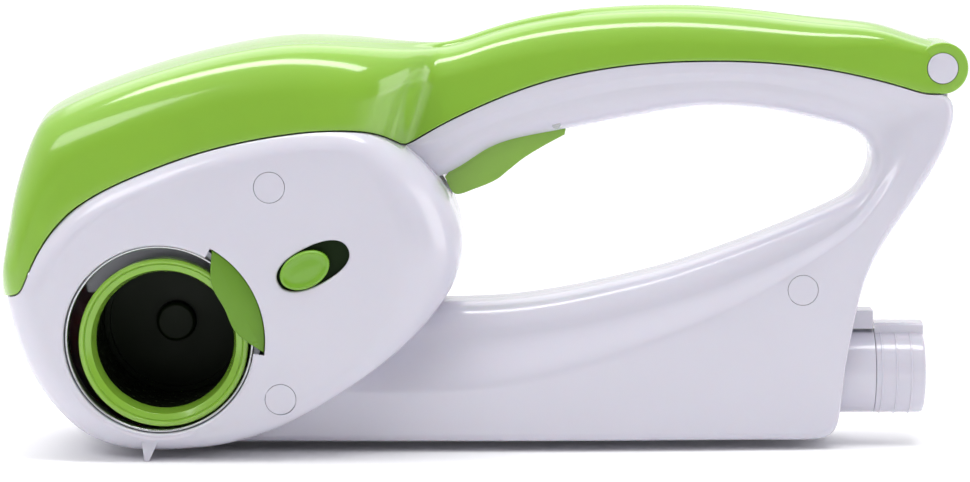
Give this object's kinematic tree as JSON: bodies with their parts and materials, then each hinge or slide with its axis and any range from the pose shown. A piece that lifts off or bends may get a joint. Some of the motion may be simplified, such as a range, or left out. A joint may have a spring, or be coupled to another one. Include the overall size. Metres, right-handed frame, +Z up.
{
  "type": "electric drum grater",
  "caption": "Cordless electric rotary drum grater with a long hinged pressing lever, pistol-style grip opening, finger trigger, drum latch and pull-out battery pack.",
  "frame": {"origin": "centre of the bounding box in plan, at the lowest point (the tip of the small underside fin)", "axes": "+X from the drum end to the hinge and battery end, +Z up, the drum's axis runs along Y and its open end faces -Y"},
  "size_m": [0.3351, 0.0908, 0.1546],
  "materials": {
    "green_plastic": "glossy moulded green plastic",
    "white_plastic": "glossy moulded white plastic",
    "dark_green_plastic": "satin dark green plastic",
    "steel": "brushed stainless steel",
    "cell_sleeve": "shrink-sleeved battery cells",
    "acetal": "natural acetal gears",
    "brass": "turned brass",
    "grey_plastic": "glass-filled grey plastic",
    "black_plastic": "black plastic",
    "wire_cover": "soft insulated wire"
  },
  "bodies": {
    "housing": {"near_housing": "white_plastic", "far_housing": "white_plastic", "screw_cap_head_top": "white_plastic", "screw_cap_head_bottom": "white_plastic", "screw_cap_rear": "white_plastic", "housing_screw_head_top": "steel", "housing_screw_head_bottom": "steel", "housing_screw_rear": "steel", "food_chute": "white_plastic", "seat_ring": "steel", "spindle_bush": "brass", "idler_pin": "steel", "gear_plate": "grey_plastic", "plate_screw_1": "steel", "plate_screw_2": "steel", "plate_screw_3": "steel", "motor_can": "steel", "motor_end_cap": "black_plastic", "motor_screw_1": "steel", "motor_screw_2": "steel", "latch_spring": "steel", "trigger_pin": "steel", "trigger_spring": "steel", "switch_body": "black_plastic", "battery_contact_1": "brass", "battery_contact_2": "brass", "wire_battery_to_motor": "wire_cover", "wire_battery_to_switch": "wire_cover", "wire_switch_to_motor": "wire_cover"},
    "lever": {"lever_shell": "green_plastic", "presser_foot": "green_plastic", "presser_screw_1": "steel", "presser_screw_2": "steel", "lever_pin": "steel", "pin_cap_near": "white_plastic", "pin_cap_far": "white_plastic"},
    "drum": {"drum_shell": "steel", "drum_ring": "green_plastic", "drum_end": "dark_green_plastic", "drive_spindle": "acetal", "drum_gear": "acetal"},
    "idler": {"idler_gear": "acetal"},
    "rotor": {"motor_armature": "steel", "motor_pinion": "brass"},
    "drum_latch": {"latch_slider": "green_plastic", "latch_button": "green_plastic"},
    "trigger_blade": {"trigger": "green_plastic"},
    "plunger": {"switch_plunger": "grey_plastic"},
    "battery_pack": {"battery_case": "white_plastic", "battery_cap": "white_plastic", "battery_cell_1": "cell_sleeve", "battery_cell_2": "cell_sleeve", "battery_cell_3": "cell_sleeve"},
    "battery_catch": {"battery_tab": "white_plastic"}
  },
  "joints": [
    {"name": "lever_hinge", "type": "hinge", "parent": "housing", "child": "lever", "pos_m": [0.1591, 0, 0.1334], "axis": [0, 1, 0], "range_deg": [0, 95]},
    {"name": "trigger_swing", "type": "hinge", "parent": "housing", "child": "trigger_blade", "pos_m": [0.025, 0, 0.1137], "axis": [0, 1, 0], "range_deg": [0, 6], "stiffness_Nm_per_rad": 0.4, "springref_deg": -6.88, "deforming": ["trigger_spring"]},
    {"name": "plunger_press", "type": "slide", "parent": "housing", "child": "plunger", "axis": [0, 0, 1], "range_m": [0, 0.0022]},
    {"name": "latch_slide", "type": "slide", "parent": "housing", "child": "drum_latch", "axis": [0.891, 0, 0.454], "range_m": [0, 0.0065], "stiffness_N_per_m": 300, "springref_m": -0.006, "deforming": ["latch_spring"]},
    {"name": "drum_spin", "type": "hinge", "parent": "housing", "child": "drum", "pos_m": [-0.11, 0, 0.0413], "axis": [0, 1, 0], "continuous": true},
    {"name": "idler_spin", "type": "hinge", "parent": "housing", "child": "idler", "pos_m": [-0.0862, 0, 0.0579], "axis": [0, 1, 0], "continuous": true},
    {"name": "rotor_spin", "type": "hinge", "parent": "housing", "child": "rotor", "pos_m": [-0.0606, 0, 0.0535], "axis": [0, 1, 0], "continuous": true},
    {"name": "battery_pull", "type": "slide", "parent": "housing", "child": "battery_pack", "axis": [1, 0, 0], "range_m": [0, 0.12]},
    {"name": "catch_press", "type": "slide", "parent": "housing", "child": "battery_catch", "axis": [-1, 0, 0], "range_m": [0, 0.003], "stiffness_N_per_m": 400, "springref_m": -0.003}
  ],
  "couplings": [
    {"joint": "plunger_press", "follows": "trigger_swing", "m_per_rad": 0.018},
    {"joint": "idler_spin", "follows": "drum_spin", "ratio": -3.1429},
    {"joint": "rotor_spin", "follows": "drum_spin", "ratio": 10.476}
  ]
}
